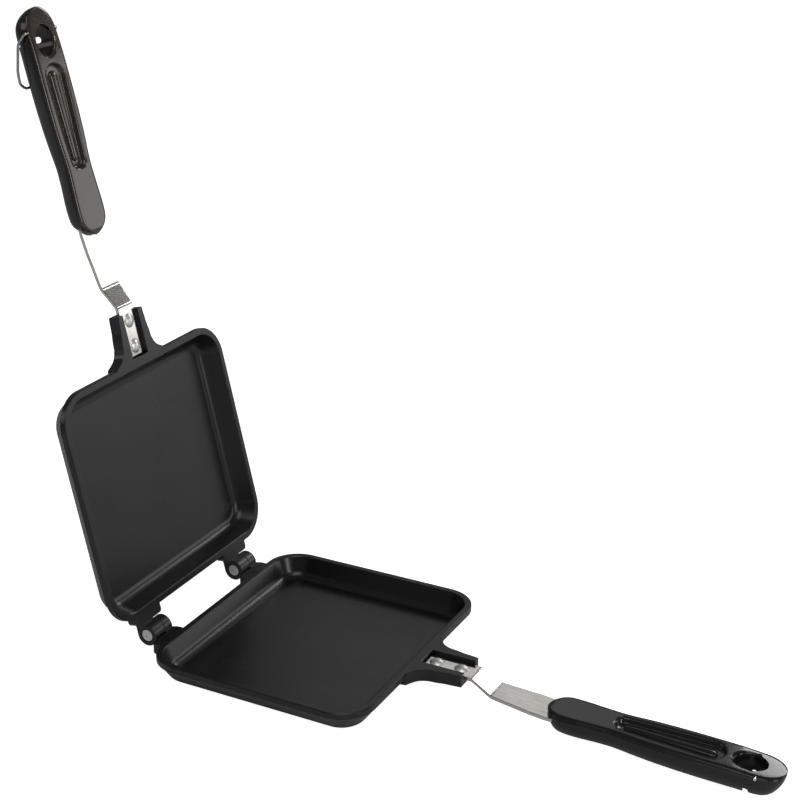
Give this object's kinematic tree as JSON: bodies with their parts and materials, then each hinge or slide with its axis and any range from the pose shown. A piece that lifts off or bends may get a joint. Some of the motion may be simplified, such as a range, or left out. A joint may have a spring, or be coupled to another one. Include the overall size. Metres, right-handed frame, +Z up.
{
  "type": "double sided flip pan",
  "caption": "Two shallow rectangular pans hinged along one side, each with a forked lug, a steel tang and a moulded handle with a hanging hole, and a wire bail on one handle tip.",
  "frame": {"origin": "centre of the lower pan's base face", "axes": "+X from the hinge side to the lower handle, +Y across the pan, +Z up through the open mouth of the lower pan"},
  "size_m": [0.4371, 0.15, 0.3511],
  "materials": {
    "coated_pan": "satin black non-stick coating",
    "pin_steel": "polished",
    "strip_steel": "satin",
    "rivet_metal": "polished",
    "handle_moulding": "glossy black moulding",
    "wire_steel": "dark drawn wire"
  },
  "bodies": {
    "lower_half": {"lower_pan": "coated_pan", "near_hinge_pin": "pin_steel", "far_hinge_pin": "pin_steel", "lower_tang": "strip_steel", "lower_inner_rivet": "rivet_metal", "lower_outer_rivet": "rivet_metal", "lower_handle_shell": "handle_moulding", "lower_handle_cover": "handle_moulding", "lower_front_screw": "pin_steel", "lower_rear_screw": "pin_steel", "near_stub_pin": "pin_steel", "far_stub_pin": "pin_steel"},
    "upper_half": {"upper_pan": "coated_pan", "upper_tang": "strip_steel", "upper_inner_rivet": "rivet_metal", "upper_outer_rivet": "rivet_metal", "upper_handle_shell": "handle_moulding", "upper_handle_cover": "handle_moulding", "upper_front_screw": "pin_steel", "upper_rear_screw": "pin_steel"},
    "bail": {"lock_bail": "wire_steel"}
  },
  "joints": [
    {"name": "main_hinge", "type": "hinge", "parent": "lower_half", "child": "upper_half", "pos_m": [-0.0767, 0, 0.01365], "axis": [0, 1, 0], "range_deg": [0, 103.25]},
    {"name": "bail_swing", "type": "hinge", "parent": "upper_half", "child": "bail", "pos_m": [-0.16352, 0, 0.32685], "axis": [0, 1, 0], "range_deg": [0, 195]}
  ]
}
